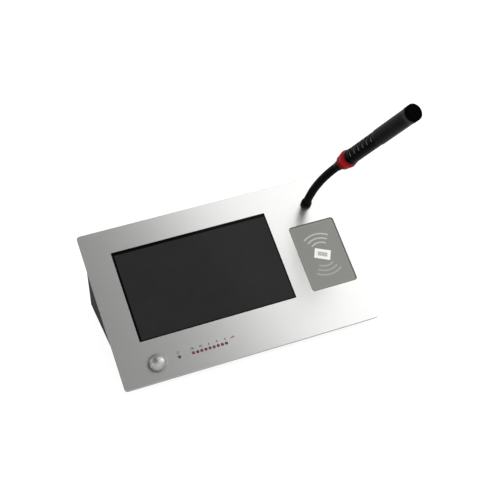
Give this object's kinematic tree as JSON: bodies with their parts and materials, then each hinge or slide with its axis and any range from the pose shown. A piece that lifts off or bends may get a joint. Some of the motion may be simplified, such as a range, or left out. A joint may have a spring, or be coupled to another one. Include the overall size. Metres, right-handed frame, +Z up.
{
  "type": "paging microphone",
  "caption": "Desk paging console: sloped aluminium panel with touch screen, card zone, push-turn knob and red lamps on a black wedge case, with a gooseneck microphone.",
  "frame": {"origin": "on the table, at the middle of the front foot strip's underside, on the console's centre line", "axes": "+X to the user's right, +Y away from the user, +Z up"},
  "size_m": [0.2741, 0.2027, 0.2394],
  "materials": {
    "brushed_aluminium": "fine brushed, clear anodised",
    "satin_aluminium": "satin turned",
    "plated_steel": "zinc plated",
    "black_paint": "fine textured powder coat",
    "black_gooseneck": "matt black steel coil",
    "black_anodised": "matt black anodised",
    "screen_glass": "touch glass with black printed border",
    "display_case": "stamped",
    "black_foam": "adhesive foam",
    "grey_inlay": "printed grey film",
    "circuit_board": "glass epoxy with green solder mask",
    "copper": "bare copper",
    "gilt_contacts": "gilt",
    "brass": "turned",
    "black_plastic": "moulded",
    "white_plastic": "moulded",
    "red_lens": "clear red",
    "red_ring": "translucent red",
    "black_rubber": "moulded",
    "rocker_plastic": "polished",
    "aluminium_can": "drawn",
    "acoustic_cloth": "woven",
    "speaker_paper": "pressed paper"
  },
  "bodies": {
    "console": {"front_panel": "brushed_aluminium", "panel_studs": "plated_steel", "panel_nuts": "plated_steel", "screen_glass": "screen_glass", "screen_frame": "black_foam", "display_module": "display_case", "display_bracket": "plated_steel", "card_plate": "grey_inlay", "reader_board": "circuit_board", "reader_coil": "copper", "encoder_body": "plated_steel", "encoder_nut": "plated_steel", "knob_bezel": "satin_aluminium", "power_lamp": "red_lens", "level_lamps": "red_lens", "lamp_board": "circuit_board", "neck_collar": "black_anodised", "neck_nut": "plated_steel", "housing": "black_paint", "base_plate": "black_paint", "base_screws": "plated_steel", "foot_strips": "black_rubber", "board_standoffs": "brass", "main_board": "circuit_board", "board_chips": "black_plastic", "capacitors": "aluminium_can", "board_connectors": "white_plastic", "screen_ribbon": "white_plastic", "connector_board": "circuit_board", "connector_standoffs": "brass", "network_socket": "black_plastic", "network_contacts": "gilt_contacts", "power_inlet": "black_plastic", "rocker_case": "black_plastic", "loudspeaker_frame": "black_paint", "loudspeaker_cone": "speaker_paper", "pan_head_screws": "plated_steel", "mic_lead": "black_rubber", "audio_in_jack": "black_plastic", "audio_out_jack": "black_plastic", "neck_link_0": "black_gooseneck"},
    "encoder_rotor": {"encoder_rotor": "white_plastic"},
    "knob": {"knob": "satin_aluminium", "encoder_shaft": "satin_aluminium"},
    "rocker": {"rocker": "rocker_plastic"},
    "neck_1": {"neck_link_1": "black_gooseneck"},
    "neck_2": {"neck_link_2": "black_gooseneck"},
    "neck_3": {"neck_link_3": "black_gooseneck"},
    "neck_4": {"neck_link_4": "black_gooseneck"},
    "microphone": {"neck_link_5": "black_gooseneck", "head_ferrule": "black_anodised", "light_ring": "red_ring", "ring_lamp_board": "circuit_board", "mic_barrel": "black_anodised", "acoustic_liner": "acoustic_cloth", "preamp_board": "circuit_board", "mic_grille": "black_anodised", "capsule_holder": "black_rubber", "mic_capsule": "aluminium_can", "mic_end_cap": "black_anodised"}
  },
  "joints": [
    {"name": "knob_turn", "type": "hinge", "parent": "console", "child": "encoder_rotor", "pos_m": [-0.0906, -0.00538, 0.01696], "axis": [0, -0.5948, 0.8039], "continuous": true},
    {"name": "knob_press", "type": "slide", "parent": "encoder_rotor", "child": "knob", "axis": [0, 0.5948, -0.8039], "range_m": [0, 0.0005], "stiffness_N_per_m": 2000, "springref_m": -0.0005},
    {"name": "rocker_tilt", "type": "hinge", "parent": "console", "child": "rocker", "pos_m": [0.0951, 0.1283, 0.02482], "axis": [0, -0.2924, 0.9563], "range_deg": [0, 16]},
    {"name": "neck_1_forward", "type": "hinge", "parent": "console", "child": "neck_1", "pos_m": [0.0996, 0.07736, 0.09596], "axis": [1, 0, 0], "range_deg": [-30, 30]},
    {"name": "neck_2_sideways", "type": "hinge", "parent": "neck_1", "child": "neck_2", "pos_m": [0.10043, 0.06705, 0.10888], "axis": [0, 0.8039, 0.5948], "range_deg": [-30, 30]},
    {"name": "neck_3_forward", "type": "hinge", "parent": "neck_2", "child": "neck_3", "pos_m": [0.1021, 0.0563, 0.12138], "axis": [1, 0, 0], "range_deg": [-30, 30]},
    {"name": "neck_4_sideways", "type": "hinge", "parent": "neck_3", "child": "neck_4", "pos_m": [0.10458, 0.04518, 0.13339], "axis": [0, 0.8039, 0.5948], "range_deg": [-30, 30]},
    {"name": "neck_5_forward", "type": "hinge", "parent": "neck_4", "child": "microphone", "pos_m": [0.10788, 0.03371, 0.14487], "axis": [1, 0, 0], "range_deg": [-30, 30]}
  ]
}
